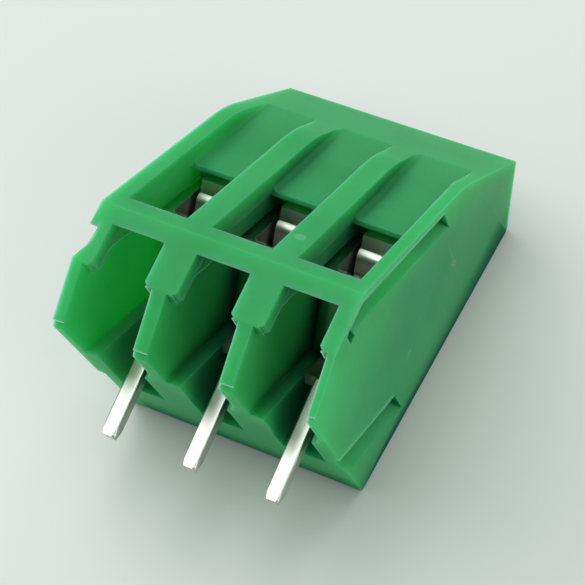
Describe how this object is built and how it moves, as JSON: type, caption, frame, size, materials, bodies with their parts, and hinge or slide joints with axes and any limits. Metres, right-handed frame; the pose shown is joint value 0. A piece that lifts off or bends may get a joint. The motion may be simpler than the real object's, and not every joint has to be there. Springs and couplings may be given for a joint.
{
  "type": "pcb screw terminal",
  "caption": "Sloping screw terminal for a circuit board: wires enter through windows in the slope, rising cages clamp them, and pins solder below.",
  "frame": {"origin": "on the board face, on the axis of the middle solder pin", "axes": "+X along the row of poles, -Y towards the wire entries, +Z away from the board"},
  "size_m": [0.0154, 0.0234, 0.0263],
  "materials": {
    "housing_plastic": "moulded, satin to gloss",
    "tinned_strip": "bright tin",
    "plated_cage": "bright plated",
    "plated_screw": "bright plated"
  },
  "bodies": {
    "root": {"housing": "housing_plastic", "contact_1": "tinned_strip", "contact_2": "tinned_strip", "contact_3": "tinned_strip"},
    "clamp_screw_1": {"screw_1": "plated_screw"},
    "clamp_cage_1": {"cage_1": "plated_cage"},
    "clamp_screw_2": {"screw_2": "plated_screw"},
    "clamp_cage_2": {"cage_2": "plated_cage"},
    "clamp_screw_3": {"screw_3": "plated_screw"},
    "clamp_cage_3": {"cage_3": "plated_cage"}
  },
  "joints": [
    {"name": "cage_lift_1", "type": "slide", "parent": "root", "child": "clamp_cage_1", "axis": [0, 0.682, 0.7314], "range_m": [0, 0.0024]},
    {"name": "screw_turn_1", "type": "hinge", "parent": "root", "child": "clamp_screw_1", "pos_m": [-0.00508, 0.00571, 0.01428], "axis": [0, -0.682, -0.7314], "range_deg": [0, 1920]},
    {"name": "cage_lift_2", "type": "slide", "parent": "root", "child": "clamp_cage_2", "axis": [0, 0.682, 0.7314], "range_m": [0, 0.0024]},
    {"name": "screw_turn_2", "type": "hinge", "parent": "root", "child": "clamp_screw_2", "pos_m": [0, 0.00571, 0.01428], "axis": [0, -0.682, -0.7314], "range_deg": [0, 1920]},
    {"name": "cage_lift_3", "type": "slide", "parent": "root", "child": "clamp_cage_3", "axis": [0, 0.682, 0.7314], "range_m": [0, 0.0024]},
    {"name": "screw_turn_3", "type": "hinge", "parent": "root", "child": "clamp_screw_3", "pos_m": [0.00508, 0.00571, 0.01428], "axis": [0, -0.682, -0.7314], "range_deg": [0, 1920]}
  ],
  "couplings": [
    {"joint": "screw_turn_1", "follows": "cage_lift_1", "rad_per_m": 13963},
    {"joint": "screw_turn_2", "follows": "cage_lift_2", "rad_per_m": 13963},
    {"joint": "screw_turn_3", "follows": "cage_lift_3", "rad_per_m": 13963}
  ]
}
